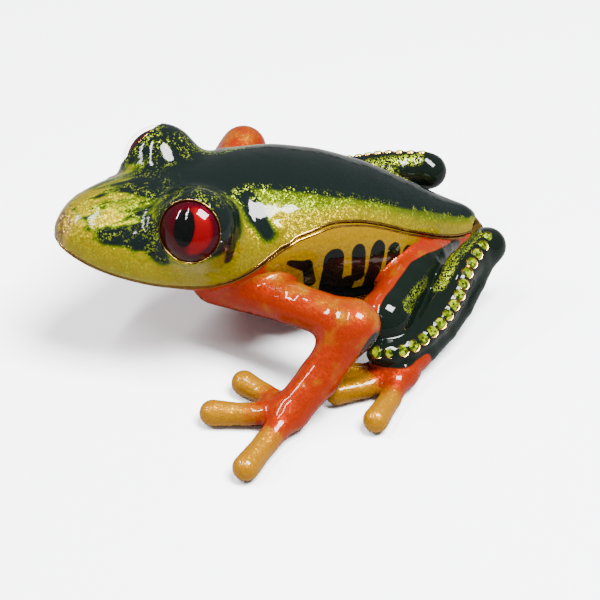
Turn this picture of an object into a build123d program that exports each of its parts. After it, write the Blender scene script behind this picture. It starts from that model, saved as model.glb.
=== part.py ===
from build123d import *
import os
from math import cos, pi, sin

# Hinged trinket box in the form of a sitting tree frog: cast body, glass eyes, stone-set hind legs.
# Millimetres.  X points to the frog's left, -Y to its snout, Z up; the feet stand on Z = 0.
# The body is one lofted form, parted by a wavy seam into the base and the lid, and both are hollow.

os.makedirs("parts", exist_ok=True)

# Body: distance behind the middle, half width, top, underside, height of the widest line.
BODY_STATIONS = [
    (-37.7, 0.9, 25.4, 23.4, 24.4),
    (-36.8, 3.4, 27.0, 21.8, 24.0),
    (-34.0, 6.5, 29.2, 19.4, 23.0),
    (-29.0, 9.7, 30.3, 16.8, 21.6),
    (-23.0, 12.2, 30.6, 14.4, 20.4),
    (-16.0, 13.6, 30.6, 11.6, 19.8),
    (-8.0, 13.9, 30.4, 8.4, 19.8),
    (0.0, 13.9, 29.6, 6.0, 19.0),
    (8.0, 13.2, 27.4, 4.2, 16.8),
    (16.0, 11.2, 23.8, 3.0, 13.8),
    (24.0, 8.2, 18.8, 2.4, 10.8),
    (31.0, 5.4, 13.6, 2.6, 8.6),
    (35.4, 3.4, 10.8, 3.6, 7.5),
    (37.4, 1.0, 8.9, 5.8, 7.4),
]
# Stations that carry the hollow; it stops short of the solid snout and rump.
HOLLOW_FIRST = 3
HOLLOW_LAST = 11
LID_WALL = 1.6
BASE_WALL = 2.2

# Parting line between lid and base, seen from the side: distance behind the middle, height.
SEAM = [
    (-42.0, 25.8),
    (-36.0, 22.7),
    (-32.0, 20.8),
    (-27.5, 19.3),
    (-22.0, 18.2),
    (-16.5, 17.6),
    (-12.5, 18.3),
    (-9.0, 19.8),
    (-5.6, 21.7),
    (-1.5, 23.1),
    (3.5, 23.3),
    (9.0, 22.0),
    (15.3, 18.8),
    (21.5, 14.8),
    (28.0, 10.6),
    (33.0, 8.2),
    (36.5, 7.4),
    (42.0, 7.2),
]
SEAM_GAP = 0.25
# Limits well clear of the whole box, for cutting blocks.
SIDE_REACH = 40
SKY = 60
CELLAR = -20
GROUND_SIDE = 200
# Room between a leg and the lid that opens past it.
LEG_TO_LID = 0.35

# Locating lip: a strip inside the base that stands up into the lid.
LIP_THICK = 0.8
LIP_DEPTH = 2.4
LIP_HEIGHT = 1.1

# Eyes: centre of the glass rim, the way it looks, and the hood that carries it.
EYE_CENTRE = (12.4, -19.3, 29.0)
EYE_LOOK = (0.72, -0.52, 0.46)
HOOD_DEPTH = 3.7
HOOD_RADIUS = 6.4
POCKET_REACH = 12.0
GLASS_RADIUS = 4.85
GLASS_RIM = 1.2
GLASS_DOME = 2.5
DOME_SPARE = 1.0
IRIS_THICK = 0.4
BEZEL_OUTER = 5.1
BEZEL_HEIGHT = 0.5

# Front leg: centres and radii from the shoulder to the elbow and on to the palm.
UPPER_ARM = [((6.0, -13.2, 13.0), 4.4), ((17.5, -4.6, 14.4), 3.4), ((25.6, 2.6, 14.9), 3.7)]
ELBOW = ((26.8, 3.2, 14.8), 4.1)
FOREARM = [((27.0, 2.4, 14.0), 3.7), ((28.4, -3.8, 7.0), 3.3), ((30.0, -8.8, 3.6), 3.1)]
PALM = ((30.2, -9.4, 2.8), 3.3)
FRONT_TOES = [
    [((30.0, -9.4, 2.8), 2.4), ((24.0, -11.6, 1.7), 1.8), ((20.2, -13.8, 1.7), 1.8)],
    [((30.0, -9.4, 2.8), 2.4), ((27.2, -16.0, 1.7), 1.8), ((25.0, -20.8, 1.7), 1.9)],
    [((30.2, -9.4, 2.8), 2.4), ((34.4, -15.2, 1.7), 1.9), ((38.2, -19.8, 1.7), 1.9)],
]
# Hind leg, folded flat: hip forward to the knee, back to the heel, forward again to the foot.
THIGH = [((3.0, 29.6, 7.0), 2.6), ((12.0, 20.0, 9.0), 4.3), ((20.0, 11.6, 8.8), 4.2)]
KNEE = ((20.8, 10.6, 8.5), 4.5)
SHIN = [
    ((12.0, 33.4, 11.2), 2.9),
    ((15.6, 26.8, 9.9), 3.1),
    ((20.0, 21.6, 7.4), 3.1),
    ((23.8, 15.6, 5.6), 3.0),
    ((25.4, 9.4, 5.4), 2.9),
]
SHIN_END = ((25.2, 8.6, 5.6), 3.1)
HEEL = ((12.0, 33.8, 11.0), 3.1)
TARSUS = [((12.6, 33.0, 9.6), 2.3), ((20.5, 23.6, 5.0), 2.3), ((27.4, 11.8, 3.0), 2.4)]
FOOT = ((27.8, 11.0, 2.4), 2.7)
HIND_TOES = [
    [((27.6, 11.0, 2.6), 2.3), ((32.2, 7.0, 1.7), 1.7), ((35.8, 3.0, 1.7), 1.9)],
    [((27.6, 11.0, 2.6), 2.3), ((28.2, 4.4, 1.7), 1.7), ((27.8, -0.4, 1.7), 1.8)],
    [((27.4, 11.0, 2.6), 2.3), ((25.0, 4.8, 1.7), 1.7), ((22.4, -0.2, 1.7), 1.8)],
]
TOE_TIP = 2.15
# Balls are turned so that their poles lie off the limbs that meet them.
BALL_TURN = (10, 50, 20)

# Stones along the shin: girdle centres run on a curve from the heel round to the knee.
STONE_CURVE = [
    (13.6, 32.8, 14.3),
    (18.0, 27.4, 12.9),
    (22.5, 22.9, 10.1),
    (26.2, 16.7, 8.2),
    (27.9, 10.6, 7.5),
    (27.0, 6.8, 7.7),
]
STONE_FACING = (0.66, 0.12, 0.74)
STONE_COUNT = 16
STONE_RADIUS = 0.95
STONE_SIDES = 8
CROWN_HEIGHT = 0.35
CROWN_TAPER = 42
PAVILION_DEPTH = 0.6
PAVILION_TAPER = 40
CHANNEL_RADIUS = 1.25
CHANNEL_DROP = 0.75

# Hinge at the rump, its axis level with the seam.
HINGE_Y = 36.6
HINGE_Z = 7.3
HINGE_TROUGH = 1.65
KNUCKLE_RADIUS = 1.25
HINGE_PIN_RADIUS = 0.5
HINGE_PIN_PLAY = 0.04
HINGE_HALF_LENGTH = 2.7
LID_KNUCKLE_HALF = 0.9
KNUCKLE_PLAY = 0.1
LEAF_THICK = 0.7
LEAF_DROP = 0.8
LEAF_FRONT = 34.0

# Closing magnets in the solid snout, square to the seam.
MAGNET_Y = -33.6
MAGNET_Z = 21.5
MAGNET_LEAN = -25
MAGNET_RADIUS = 1.5
MAGNET_HEIGHT = 1.2


def body_outline(half_width, top, bottom, widest):
    """Eight points of an oval, fuller above or below its widest line as the heights say."""
    points = []
    for step in range(8):
        angle = step * pi / 4
        rise = top - widest if sin(angle) > 0 else widest - bottom
        points.append((half_width * cos(angle), widest + rise * sin(angle)))
    return points


def lofted_body(first, last, wall):
    """Body form between two stations, drawn in by the wall thickness."""
    with BuildPart() as form:
        for y, half_width, top, bottom, widest in BODY_STATIONS[first:last + 1]:
            with BuildSketch(Plane.XZ.offset(-y)):
                with BuildLine():
                    Spline(*body_outline(half_width - wall, top - wall, bottom + wall, widest), periodic=True)
                make_face()
        loft()
    return form.part


def seam_block(lowered, limit):
    """Everything between the lowered parting line and a height well clear of the body."""
    points = [(y, z - lowered) for y, z in SEAM]
    with BuildPart() as block:
        with BuildSketch(Plane.YZ):
            with BuildLine():
                Spline(*points)
                Polyline(points[-1], (points[-1][0], limit), (points[0][0], limit), points[0])
            make_face()
        extrude(amount=SIDE_REACH, both=True)
    return block.part


def limb(stations):
    """Round-sectioned limb lofted through centres and radii."""
    centres = [Vector(*centre) for centre, radius in stations]
    with BuildPart() as lofted:
        for index, (centre, radius) in enumerate(stations):
            before = centres[max(index - 1, 0)]
            after = centres[min(index + 1, len(centres) - 1)]
            with BuildSketch(Plane(origin=centre, z_dir=(after - before).normalized())):
                Circle(radius)
        loft()
    return lofted.part


def ball(centre, radius):
    """Sphere that rounds a joint or the end of a limb."""
    with BuildPart() as rounded:
        with Locations(centre):
            Sphere(radius, rotation=BALL_TURN)
    return rounded.part


def disc(plane, radius, height):
    """Round plug standing on a plane."""
    with BuildPart() as plug:
        with BuildSketch(plane):
            Circle(radius)
        extrude(amount=height)
    return plug.part


def rod(half_length, start, radius):
    """Round bar across the rump on the hinge axis, from a start to a half length on the left."""
    return disc(Plane(origin=(start, HINGE_Y, HINGE_Z), z_dir=(1, 0, 0)), radius, half_length - start)


def plate(half_width, low, high, front, back):
    """Flat leaf across the rump between two heights."""
    with BuildPart() as leaf:
        with BuildSketch(Plane.XY.offset(low)):
            with Locations((0, (front + back) / 2)):
                Rectangle(2 * half_width, back - front)
        extrude(amount=high - low)
    return leaf.part


def eye_plane(offset):
    """Plane of the left eye's rim, moved out along its look by an offset."""
    look = Vector(*EYE_LOOK).normalized()
    return Plane(origin=Vector(*EYE_CENTRE) + look * offset, z_dir=look)


def stone_plane(index):
    """Girdle plane of one stone on the left shin."""
    with BuildLine() as curve:
        Spline(*STONE_CURVE)
    centre = curve.line @ (index / (STONE_COUNT - 1))
    return Plane(origin=centre, z_dir=Vector(*STONE_FACING).normalized())


def keep(solid, name):
    """Label a finished piece and write its file."""
    solid.label = name
    export_step(solid, f"parts/{name}.step")


def keep_pair(solid, name):
    """Write the left piece and its mirror image on the right."""
    keep(solid, name + "_left")
    keep(mirror(solid, about=Plane.YZ), name + "_right")


def keep_legs(untrimmed, name):
    """Fit a left leg and its mirror image to the body, clear of the lid, and write both."""
    for side, leg in (("_left", untrimmed), ("_right", mirror(untrimmed, about=Plane.YZ))):
        with BuildPart() as fitted:
            add(leg)
            add(body_form, mode=Mode.SUBTRACT)
            add(lid_clearance.part, mode=Mode.SUBTRACT)
        keep(fitted.part, name + side)


# ---------------------------------------------------------------- body forms
last_station = len(BODY_STATIONS) - 1
body_form = lofted_body(0, last_station, 0)
grown_form = lofted_body(0, last_station, -LEG_TO_LID)
lid_hollow = lofted_body(HOLLOW_FIRST, HOLLOW_LAST, LID_WALL)
base_hollow = lofted_body(HOLLOW_FIRST, HOLLOW_LAST, BASE_WALL)
lip_inner = lofted_body(HOLLOW_FIRST, HOLLOW_LAST, BASE_WALL + LIP_THICK)
over_seam = seam_block(SEAM_GAP / 2, SKY)
under_seam = seam_block(-SEAM_GAP / 2, CELLAR)
left_eye = eye_plane(0)
look = Vector(*EYE_LOOK).normalized()

left_hood = ball(tuple(Vector(*EYE_CENTRE) - look * HOOD_DEPTH), HOOD_RADIUS)
with BuildPart() as left_pocket:
    add(disc(eye_plane(-GLASS_RIM - IRIS_THICK), GLASS_RADIUS, POCKET_REACH))
    add(disc(eye_plane(-BEZEL_HEIGHT), BEZEL_OUTER, POCKET_REACH))

# ---------------------------------------------------------------- hinge
with BuildPart() as base_leaf:
    add(rod(HINGE_HALF_LENGTH, LID_KNUCKLE_HALF + KNUCKLE_PLAY, KNUCKLE_RADIUS))
    add(plate(HINGE_HALF_LENGTH, HINGE_Z - LEAF_DROP - LEAF_THICK, HINGE_Z - LEAF_DROP,
              LEAF_FRONT, HINGE_Y))
    mirror(about=Plane.YZ)
    add(rod(HINGE_HALF_LENGTH, -HINGE_HALF_LENGTH, HINGE_PIN_RADIUS), mode=Mode.SUBTRACT)
    add(plate(LID_KNUCKLE_HALF + KNUCKLE_PLAY, 0, 2 * HINGE_Z, HINGE_Y - HINGE_TROUGH, 2 * HINGE_Y),
        mode=Mode.SUBTRACT)
keep(base_leaf.part, "hinge_base_leaf")

with BuildPart() as lid_leaf:
    add(rod(LID_KNUCKLE_HALF, -LID_KNUCKLE_HALF, KNUCKLE_RADIUS))
    add(plate(LID_KNUCKLE_HALF, HINGE_Z + LEAF_DROP, HINGE_Z + LEAF_DROP + LEAF_THICK,
              LEAF_FRONT, HINGE_Y))
    add(rod(HINGE_HALF_LENGTH, -HINGE_HALF_LENGTH, HINGE_PIN_RADIUS + HINGE_PIN_PLAY), mode=Mode.SUBTRACT)
keep(lid_leaf.part, "hinge_lid_leaf")

with BuildPart() as pin:
    add(rod(HINGE_HALF_LENGTH, -HINGE_HALF_LENGTH, HINGE_PIN_RADIUS))
keep(pin.part, "hinge_pin")

# ---------------------------------------------------------------- lid and its fittings
magnet_plane = Plane(origin=(0, MAGNET_Y, MAGNET_Z), x_dir=(1, 0, 0), z_dir=(0, 0, 1)).rotated((MAGNET_LEAN, 0, 0))
base_magnet_plane = magnet_plane.offset(-MAGNET_HEIGHT - SEAM_GAP)
lid_magnet_plane = magnet_plane.offset(SEAM_GAP)

with BuildPart() as lid_magnet:
    add(disc(lid_magnet_plane, MAGNET_RADIUS, MAGNET_HEIGHT))
keep(lid_magnet.part, "lid_magnet")
with BuildPart() as base_magnet:
    add(disc(base_magnet_plane, MAGNET_RADIUS, MAGNET_HEIGHT))
keep(base_magnet.part, "base_magnet")

with BuildPart() as lid:
    add(body_form)
    add(under_seam, mode=Mode.SUBTRACT)
    add(left_hood)
    add(mirror(left_hood, about=Plane.YZ))
    add(lid_hollow, mode=Mode.SUBTRACT)
    add(left_pocket.part, mode=Mode.SUBTRACT)
    add(mirror(left_pocket.part, about=Plane.YZ), mode=Mode.SUBTRACT)
    add(rod(SIDE_REACH, -SIDE_REACH, HINGE_TROUGH), mode=Mode.SUBTRACT)
    add(lid_leaf.part, mode=Mode.SUBTRACT)
    add(disc(magnet_plane, MAGNET_RADIUS, MAGNET_HEIGHT + SEAM_GAP), mode=Mode.SUBTRACT)
keep(lid.part, "lid_casting")

with BuildPart() as iris:
    add(disc(eye_plane(-GLASS_RIM - IRIS_THICK), GLASS_RADIUS, IRIS_THICK))
keep_pair(iris.part, "eye_iris")

dome_sphere = (GLASS_RADIUS ** 2 + GLASS_DOME ** 2) / (2 * GLASS_DOME)
with BuildPart() as dome:
    add(ball(tuple(Vector(*EYE_CENTRE) + look * (GLASS_DOME - dome_sphere)), dome_sphere))
    add(disc(left_eye, GLASS_RADIUS, GLASS_DOME + DOME_SPARE), mode=Mode.INTERSECT)
with BuildPart() as glass:
    add(disc(eye_plane(-GLASS_RIM), GLASS_RADIUS, GLASS_RIM))
    add(dome.part)
keep_pair(glass.part, "eye_glass")

with BuildPart() as bezel:
    add(disc(eye_plane(-BEZEL_HEIGHT), BEZEL_OUTER, BEZEL_HEIGHT))
    add(disc(eye_plane(-BEZEL_HEIGHT), GLASS_RADIUS, BEZEL_HEIGHT), mode=Mode.SUBTRACT)
keep_pair(bezel.part, "eye_bezel")

# ---------------------------------------------------------------- base and its lip
with BuildPart() as base:
    add(body_form)
    add(over_seam, mode=Mode.SUBTRACT)
    add(base_hollow, mode=Mode.SUBTRACT)
    add(rod(SIDE_REACH, -SIDE_REACH, HINGE_TROUGH), mode=Mode.SUBTRACT)
    add(base_leaf.part, mode=Mode.SUBTRACT)
    add(disc(base_magnet_plane, MAGNET_RADIUS, 2 * MAGNET_HEIGHT), mode=Mode.SUBTRACT)
keep(base.part, "base_casting")

with BuildPart() as lip:
    add(base_hollow)
    add(lip_inner, mode=Mode.SUBTRACT)
    add(seam_block(LIP_DEPTH, SKY), mode=Mode.INTERSECT)
    add(seam_block(-LIP_HEIGHT, CELLAR), mode=Mode.INTERSECT)
keep(lip.part, "locating_lip")

# ---------------------------------------------------------------- legs
with BuildPart() as ground:
    with BuildSketch(Plane.XY):
        Rectangle(GROUND_SIDE, GROUND_SIDE)
    extrude(amount=CELLAR)
with BuildPart() as lid_clearance:
    add(grown_form)
    add(seam_block(SEAM_GAP, SKY), mode=Mode.INTERSECT)

with BuildPart() as front_leg:
    add(limb(UPPER_ARM))
    add(ball(*ELBOW))
    add(limb(FOREARM))
    add(ball(*PALM))
    for toe in FRONT_TOES:
        add(limb(toe))
        add(ball(toe[-1][0], TOE_TIP))
    add(ground.part, mode=Mode.SUBTRACT)
keep_legs(front_leg.part, "front_leg")

# ---------------------------------------------------------------- stones and their channel
with BuildPart() as stones:
    for index in range(STONE_COUNT):
        with BuildSketch(stone_plane(index)):
            RegularPolygon(STONE_RADIUS, STONE_SIDES)
        extrude(amount=CROWN_HEIGHT, taper=CROWN_TAPER)
        with BuildSketch(stone_plane(index)):
            RegularPolygon(STONE_RADIUS, STONE_SIDES)
        extrude(amount=-PAVILION_DEPTH, taper=PAVILION_TAPER)

facing = Vector(*STONE_FACING).normalized()
with BuildPart() as channel:
    with BuildLine() as channel_path:
        Spline(*[tuple(Vector(*point) - facing * CHANNEL_DROP) for point in STONE_CURVE])
    with BuildSketch(Plane(origin=channel_path.line @ 0, z_dir=channel_path.line % 0)):
        Circle(CHANNEL_RADIUS)
    sweep(path=channel_path.line)
    add(ball(tuple(channel_path.line @ 0), CHANNEL_RADIUS))
    add(ball(tuple(channel_path.line @ 1), CHANNEL_RADIUS))
channel_form = channel.part

with BuildPart() as hind_leg:
    add(limb(THIGH))
    add(ball(*KNEE))
    add(limb(SHIN))
    add(ball(*HEEL))
    add(ball(*SHIN_END))
    add(limb(TARSUS))
    add(ball(*FOOT))
    for toe in HIND_TOES:
        add(limb(toe))
        add(ball(toe[-1][0], TOE_TIP))
    add(ground.part, mode=Mode.SUBTRACT)
    add(channel_form, mode=Mode.SUBTRACT)
keep_legs(hind_leg.part, "hind_leg")

with BuildPart() as setting:
    add(channel_form)
    for index in range(STONE_COUNT):
        add(disc(stone_plane(index), STONE_RADIUS, 2 * CHANNEL_RADIUS), mode=Mode.SUBTRACT)
    add(stones.part, mode=Mode.SUBTRACT)
keep_pair(setting.part, "stone_channel")
keep_pair(stones.part, "stones")
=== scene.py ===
"""Looks of the tree-frog trinket box: sculpted enamelled skins, gold rims, glass eyes and set stones.

Lengths are worked out in millimetres and turned to metres when a mesh is made.
"""
import math

import bpy
import bmesh
import numpy as np
import openvdb
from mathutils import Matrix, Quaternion, Vector


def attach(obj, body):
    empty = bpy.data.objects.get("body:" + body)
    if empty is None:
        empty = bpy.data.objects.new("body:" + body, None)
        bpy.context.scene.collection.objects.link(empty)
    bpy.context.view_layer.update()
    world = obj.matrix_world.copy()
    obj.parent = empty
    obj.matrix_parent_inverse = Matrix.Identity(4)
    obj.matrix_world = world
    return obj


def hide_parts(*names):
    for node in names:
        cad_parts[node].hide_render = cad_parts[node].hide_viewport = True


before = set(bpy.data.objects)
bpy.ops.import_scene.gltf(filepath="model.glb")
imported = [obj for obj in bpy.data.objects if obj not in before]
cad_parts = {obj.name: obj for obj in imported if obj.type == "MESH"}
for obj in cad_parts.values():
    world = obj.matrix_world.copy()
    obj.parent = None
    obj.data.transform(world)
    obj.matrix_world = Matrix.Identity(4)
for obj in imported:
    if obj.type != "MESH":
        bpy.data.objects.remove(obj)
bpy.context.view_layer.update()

MM = 0.001
VOXEL = 0.33


def unit(x, y, z):
    """Direction of length one."""
    return np.array((x, y, z)) / np.linalg.norm((x, y, z))


# ------------------------------------------------------------------ the design's driving dimensions, mm
# Body: distance behind the middle, half width, top, underside, height of the widest line.
BODY_STATIONS = np.array([
    (-38.0, 0.0, 24.4, 24.4, 24.4),
    (-36.8, 3.4, 27.0, 21.8, 24.0),
    (-34.0, 6.5, 29.2, 19.4, 23.0),
    (-29.0, 9.7, 30.3, 16.8, 21.6),
    (-23.0, 12.2, 30.6, 14.4, 20.4),
    (-16.0, 13.6, 30.6, 11.6, 19.8),
    (-8.0, 13.9, 30.4, 8.4, 19.8),
    (0.0, 13.9, 29.6, 6.0, 19.0),
    (8.0, 13.2, 27.4, 4.2, 16.8),
    (16.0, 11.2, 23.8, 3.0, 13.8),
    (24.0, 8.2, 18.8, 2.4, 10.8),
    (31.0, 5.4, 13.6, 2.6, 8.6),
    (35.4, 3.4, 10.8, 3.6, 7.5),
    (37.8, 0.0, 7.4, 7.4, 7.4),
])
SEAM = np.array([
    (-42.0, 25.8), (-36.0, 22.7), (-32.0, 20.8), (-27.5, 19.3), (-22.0, 18.2), (-16.5, 17.6),
    (-12.5, 18.3), (-9.0, 19.8), (-5.6, 21.7), (-1.5, 23.1), (3.5, 23.3), (9.0, 22.0),
    (15.3, 18.8), (21.5, 14.8), (28.0, 10.6), (33.0, 8.2), (36.5, 7.4), (42.0, 7.2),
])
SEAM_GAP = 0.25
HOLLOW_FRONT = -28.5
HOLLOW_BACK = 30.5
LID_WALL = 1.6
BASE_WALL = 2.2
RIM_BEAD = 0.21
RIM_SINK = 0.08
RIM_HINGE_GAP = 0.3

EYE_CENTRE = np.array((12.4, -19.3, 29.0))
EYE_LOOK = unit(0.72, -0.52, 0.46)
HOOD_DEPTH = 3.7
HOOD_RADIUS = 6.4
HOOD_BLEND = 3.2
GLASS_RADIUS = 4.85
# Depth of the iris below the rim as it looks: the glass lifts and crowns it.
GLASS_RIM = 0.3
IRIS_CROWN = 2.2
GLASS_DOME = 2.5
BEZEL_OUTER = 5.1
BEZEL_BEAD = 0.11
BEZEL_LAP = 0.1
BEZEL_DEPTH = 0.6
IRIS_GAP = 0.05
IRIS_BACK = 0.4
# Fullness of the belly low on the flank: start, end.
BELLY = ((6.2, 1.0, 9.6), 6.6), ((4.6, 13.6, 8.6), 6.0)
BELLY_BLEND = 7.0
BELLY_MIDDLE_BLEND = 6.0
BOSS_BLEND = 0.4
# Low round bosses on the skin: nostril, the bead before the eye, and the two rings of the ear drum.
BOSSES = [
    ((4.1, -32.3, 26.75), 1.4), ((7.5, -26.1, 26.2), 1.55),
    ((11.0, -4.2, 24.3), 1.6), ((12.0, -3.4, 22.8), 1.5),
]

ARM = [
    ((6.0, -13.2, 13.0), 4.4), ((17.5, -4.6, 14.2), 3.4), ((26.5, 2.8, 14.4), 3.5),
    ((28.4, -3.8, 7.0), 3.25), ((30.1, -9.2, 3.2), 3.05),
]
FRONT_TOES = [
    [((30.0, -9.4, 2.8), 2.4), ((24.0, -11.6, 1.9), 1.75), ((20.2, -13.8, 1.9), 2.1)],
    [((30.0, -9.4, 2.8), 2.4), ((27.2, -16.0, 1.9), 1.75), ((25.0, -20.8, 1.9), 2.15)],
    [((30.2, -9.4, 2.8), 2.4), ((34.4, -15.2, 1.9), 1.85), ((38.2, -19.8, 1.9), 2.15)],
]
THIGH = [((3.0, 29.6, 7.0), 2.6), ((12.0, 20.0, 9.0), 4.3), ((20.0, 11.6, 8.8), 4.2)]
KNEE = ((20.8, 10.6, 8.5), 4.5)
SHIN = [
    ((12.0, 33.4, 11.2), 2.9),
    ((15.6, 26.8, 9.9), 3.1),
    ((20.0, 21.6, 7.4), 3.1),
    ((23.8, 15.6, 5.6), 3.0),
    ((25.4, 9.4, 5.4), 3.0),
]
HEEL = ((12.0, 33.8, 11.0), 3.1)
TARSUS = [((12.6, 33.0, 9.6), 2.3), ((20.5, 23.6, 5.0), 2.3), ((27.4, 11.8, 3.0), 2.4)]
FOOT = ((27.8, 11.0, 2.4), 2.6)
HIND_TOES = [
    [((27.6, 11.0, 2.6), 2.3), ((32.2, 7.0, 1.8), 1.7), ((35.8, 3.0, 1.9), 2.1)],
    [((27.6, 11.0, 2.6), 2.3), ((28.2, 4.4, 1.8), 1.7), ((27.8, -0.4, 1.9), 2.05)],
    [((27.4, 11.0, 2.6), 2.3), ((25.0, 4.8, 1.8), 1.7), ((22.4, -0.2, 1.9), 2.05)],
]
STONE_CURVE = np.array([
    (13.6, 32.8, 14.3), (18.0, 27.4, 12.9), (22.5, 22.9, 10.1),
    (26.2, 16.7, 8.2), (27.9, 10.6, 7.5), (27.0, 6.8, 7.7),
])
STONE_FACING = unit(0.66, 0.12, 0.74)
STONE_COUNT = 16
STONE_RADIUS = 0.95
# Table of a stone as a share of its radius, and the heights of its table and its point.
STONE_TABLE = 0.55
STONE_CROWN = 0.36
STONE_POINT = 0.62
CUP_WALL = 0.16
CUP_LAP = 0.06
CUP_DEPTH = 0.7
SEAT_DROP = 1.3
CHANNEL_DROP = 1.12
CHANNEL_RADIUS = 1.2
SEAT_RADIUS = 1.25
MAGNET_SPOT = np.array((0, -33.6, 21.5))
MAGNET_AXIS = np.array((0, math.sin(math.radians(25)), math.cos(math.radians(25))))
MAGNET_RADIUS = 1.5
MAGNET_DEPTH = 0.8
MAGNET_PLAY = 0.04
# How far a leg's fillet dips under the skin where it runs out, and how deep its root reaches.
FILLET_SINK = 0.25
ROOT_DEPTH = 0.6
# How far a fillet may stand off its leg, as a share of its size.
FILLET_REACH = 0.95
# How far the legs keep from the lid: out from the skin, and down from the parting surface.
LID_CLEAR_OUT = 0.5
LID_CLEAR_DOWN = 0.6
SOLE_ROUND = 0.4
FRONT_LEG_FILLET = 2.0
HIND_LEG_FILLET = 1.6
ELBOW_BLEND = 2.8
HINGE_Y = 36.6
HINGE_Z = 7.3
HINGE_TROUGH = 1.65
STRIP_SPIN = -36
# Radiance of the room and the far table as the camera sees them, and of the room as light.
ROOM_WHITE = 6.0
ROOM_LIGHT = 0.35
ROOM_TINT = (0.93, 0.95, 1.0, 1)
TABLE_WHITE = (0.86, 0.87, 0.89, 1)
TABLE_IN_GLOSS = (0.10, 0.10, 0.10, 1)
TABLE_SIDE = 3000
# Where the far table begins to glow for the camera, and where it is as white as the room.
GLOW_START = 250
GLOW_FULL = 800


def add_object(name, data):
    """New object in the scene."""
    made = bpy.data.objects.new(name, data)
    bpy.context.scene.collection.objects.link(made)
    return made


# ------------------------------------------------------------------ camera, lights and table
def add_camera():
    """Camera above the frog's left front, as the object is usually shown."""
    data = bpy.data.cameras.new("camera")
    data.lens = 90
    data.sensor_width = 36
    camera = add_object("camera", data)
    elevation, turn, distance = math.radians(40), math.radians(21), 246
    target = Vector((15, -2, 12))
    back = Vector((
        math.cos(elevation) * math.cos(turn),
        -math.cos(elevation) * math.sin(turn),
        math.sin(elevation),
    ))
    camera.location = (target + back * distance) * MM
    camera.rotation_euler = back.to_track_quat("Z", "Y").to_euler()
    bpy.context.scene.camera = camera


def add_area_light(name, place, aim, size, radiance, spin=0.0):
    """Soft box of a given brightness, aimed at a point and spun about its own axis; in millimetres."""
    data = bpy.data.lights.new(name, "AREA")
    data.shape = "RECTANGLE"
    data.size = size[0] * MM
    data.size_y = size[1] * MM
    data.energy = radiance * math.pi * data.size * data.size_y
    light = add_object(name, data)
    light.location = Vector(place) * MM
    aimed = (Vector(place) - Vector(aim)).to_track_quat("Z", "Y")
    light.rotation_euler = (aimed @ Quaternion((0, 0, 1), math.radians(spin))).to_euler()


def add_lights():
    """Two long strips before the frog and one panel over its left side, in a plain room."""
    add_area_light("near_strip", (-12, -244, 543), (0, -20, 20), (330, 40), 110, STRIP_SPIN)
    add_area_light("far_strip", (-211, -520, 543), (0, -20, 20), (330, 50), 110, STRIP_SPIN)
    add_area_light("top_panel", (150, 150, 565), (0, 0, 20), (210, 310), 115)
    world = bpy.data.worlds.new("room")
    world.use_nodes = True
    nodes, links = world.node_tree.nodes, world.node_tree.links
    background = nodes["Background"]
    background.inputs["Color"].default_value = ROOM_TINT
    # The room is white to the camera and dim to everything else.
    seen = nodes.new("ShaderNodeLightPath")
    strength = nodes.new("ShaderNodeMapRange")
    strength.inputs["To Min"].default_value = ROOM_LIGHT
    strength.inputs["To Max"].default_value = ROOM_WHITE
    links.new(seen.outputs["Is Camera Ray"], strength.inputs["Value"])
    links.new(strength.outputs["Result"], background.inputs["Strength"])
    bpy.context.scene.world = world


def add_table():
    """Pale table top under the frog."""
    bpy.ops.mesh.primitive_plane_add(size=TABLE_SIDE * MM, location=(0, 0, -0.2 * MM))
    table = bpy.context.object
    table.name = "table_top"
    paint = bpy.data.materials.new("table_top")
    paint.use_nodes = True
    nodes, links = paint.node_tree.nodes, paint.node_tree.links
    shader = nodes["Principled BSDF"]
    # The table looks darker in the frog's gloss than to the eye, as it does behind a studio flag.
    ray = nodes.new("ShaderNodeLightPath")
    shade = nodes.new("ShaderNodeMix")
    shade.data_type = "RGBA"
    shade.inputs[6].default_value = TABLE_WHITE
    shade.inputs[7].default_value = TABLE_IN_GLOSS
    links.new(ray.outputs["Is Glossy Ray"], shade.inputs[0])
    links.new(shade.outputs[2], shader.inputs["Base Color"])
    # Far from the frog the table runs over into the white room, again for the camera only.
    spot = nodes.new("ShaderNodeTexCoord")
    distance = nodes.new("ShaderNodeVectorMath")
    distance.operation = "LENGTH"
    links.new(spot.outputs["Object"], distance.inputs[0])
    glow = nodes.new("ShaderNodeMapRange")
    glow.inputs["From Min"].default_value = GLOW_START * MM
    glow.inputs["From Max"].default_value = GLOW_FULL * MM
    glow.inputs["To Max"].default_value = ROOM_WHITE
    links.new(distance.outputs["Value"], glow.inputs["Value"])
    seen_glow = nodes.new("ShaderNodeMath")
    seen_glow.operation = "MULTIPLY"
    links.new(glow.outputs["Result"], seen_glow.inputs[0])
    links.new(ray.outputs["Is Camera Ray"], seen_glow.inputs[1])
    shader.inputs["Emission Color"].default_value = ROOM_TINT
    links.new(seen_glow.outputs["Value"], shader.inputs["Emission Strength"])
    shader.inputs["Roughness"].default_value = 0.7
    shader.inputs["Specular IOR Level"].default_value = 0.1
    table.data.materials.append(paint)


add_camera()
add_lights()
add_table()


# ------------------------------------------------------------------ form fields: signed distances, mm
def smoothstep(low, high, value):
    """0 below low, 1 above high, smooth between."""
    t = np.clip((value - low) / (high - low), 0, 1)
    return t * t * (3 - 2 * t)


def hermite(t, step, start, end, start_slope, end_slope):
    """Cubic between two values a step apart, at the part t of the way, with given slopes."""
    return ((2 * t ** 3 - 3 * t ** 2 + 1) * start + (t ** 3 - 2 * t ** 2 + t) * step * start_slope
            + (3 * t ** 2 - 2 * t ** 3) * end + (t ** 3 - t ** 2) * step * end_slope)


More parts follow.
